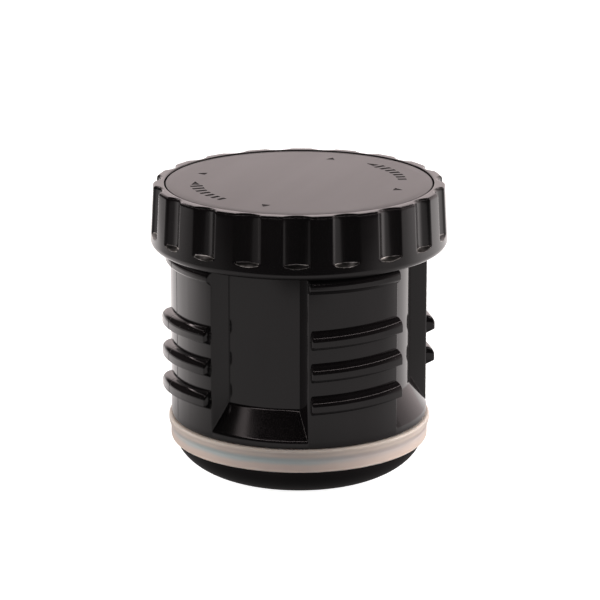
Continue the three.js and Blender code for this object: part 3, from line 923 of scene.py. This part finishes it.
def surroundings():
    """A white room that darkens overhead, towards the camera's side and high on the left, with a narrow
    strip light that doesn't reach far round to the left. The camera itself sees white."""
    world = bpy.data.worlds.new("white_room")
    world.use_nodes = True
    bpy.context.scene.world = world
    tree = world.node_tree
    tree.nodes.clear()
    sky = tree.nodes.new("ShaderNodeTexCoord").outputs["Generated"]
    room = tree.nodes.new("ShaderNodeBackground")
    room.inputs["Color"].default_value = (1.0, 0.87, 0.865, 1)
    towards_camera = along_direction(tree, sky, facing_camera(25))
    leftward = along_direction(tree, sky, LEFTWARDS)
    upward = along_direction(tree, sky, UPWARDS)
    # Each call below says where along its value, a cosine, the change starts and ends, and the
    # strengths before and after it.
    strength = faded(tree, towards_camera, -0.6, 0.45, 1.35, 0.012)
    strength = combined(tree, "MULTIPLY", strength, faded(tree, upward, 0.32, 0.56, 1.0, 0.05))
    strength = combined(tree, "MULTIPLY", strength, faded(tree, leftward, 0.42, 0.58, 1.0, 0.03))
    strip = faded(tree, upward, 0.56, 0.575, 0.0, 5.5)
    strip = combined(tree, "MULTIPLY", strip, faded(tree, upward, 0.59, 0.605, 1.0, 0.0))
    strip = combined(tree, "MULTIPLY", strip, faded(tree, leftward, 0.5, 0.75, 1.0, 0.22))
    tree.links.new(combined(tree, "ADD", strength, strip), room.inputs["Strength"])
    white = tree.nodes.new("ShaderNodeBackground")
    white.inputs["Color"].default_value = (1, 1, 1, 1)
    mix = tree.nodes.new("ShaderNodeMixShader")
    tree.links.new(tree.nodes.new("ShaderNodeLightPath").outputs["Is Camera Ray"], mix.inputs["Fac"])
    tree.links.new(room.outputs["Background"], mix.inputs[1])
    tree.links.new(white.outputs["Background"], mix.inputs[2])
    out = tree.nodes.new("ShaderNodeOutputWorld")
    tree.links.new(mix.outputs["Shader"], out.inputs["Surface"])


def softbox(name, azimuth, power):
    """A soft square light that faces the object."""
    data = bpy.data.lights.new(name, "AREA")
    data.shape = "RECTANGLE"
    data.size, data.size_y = FILL_SIZE, FILL_SIZE
    data.energy = power
    light = bpy.data.objects.new(name, data)
    out = direction_at(azimuth, FILL_ELEVATION)
    light.location = Vector((0, 0, AIM_HEIGHT)) + out * FILL_DISTANCE
    light.rotation_euler = out.to_track_quat("Z", "Y").to_euler()
    bpy.context.collection.objects.link(light)
    return light


def camera():
    """The main view: above and a little to the right of a channel, from far away with a long lens."""
    data = bpy.data.cameras.new("camera")
    data.lens = CAMERA_LENS
    data.sensor_width = CAMERA_SENSOR
    data.shift_x = CAMERA_SHIFT
    item = bpy.data.objects.new("camera", data)
    out = facing_camera(CAMERA_ELEVATION)
    item.location = Vector((0, 0, AIM_HEIGHT)) + out * CAMERA_DISTANCE
    item.rotation_euler = out.to_track_quat("Z", "Y").to_euler()
    bpy.context.collection.objects.link(item)
    bpy.context.scene.camera = item


# ------------------------------------------------------------------ the whole object

camera()
stage()
surroundings()
for name, turn, power in (("left", -100, 8.2), ("right", 100, 13.0), ("front", 0, 2.7)):
    fill = softbox(f"{name}_fill", CAMERA_AZIMUTH + turn, power)
    fill.data.color = (1.0, 0.95, 0.91) if turn else (1.0, 1.0, 1.0)
    fill.visible_glossy = False  # it lights only the milky ring and the foam

body_plastic = moulded_black("body_gloss_black", 0.09, 0.08)
base_plastic = moulded_black("base_gloss_black", 0.09, 0.08)
dress(head_shell(), None, "stopper", "black_plastic", "head_shell")
dress(top_disc(), None, "stopper", "black_disc", "top_disc")
dress(threaded_body(), body_plastic, "stopper", "black_plastic", "stopper_body")
dress(base_cup(), base_plastic, "stopper", "black_plastic", "base_cup")
dress(seal_ring(), silicone(), "seal", "seal", "seal_ring")

kept_looks = {
    "head_foam": foam(),
    "core_foam": foam(),
    "head_gasket": rubber("gasket_rubber", (0.012, 0.012, 0.012), (0.022, 0.021, 0.021)),
    "base_o_ring": rubber("o_ring_rubber", (0.015, 0.015, 0.015), (0.028, 0.028, 0.028)),
}
steel = screw_steel()
for index in range(CHANNELS):
    kept_looks[f"head_screw_{index + 1}"] = steel
for node, look in kept_looks.items():
    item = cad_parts[node]
    for material_slot in item.material_slots:
        material_slot.material = look

bpy.context.scene.view_settings.view_transform = "Standard"
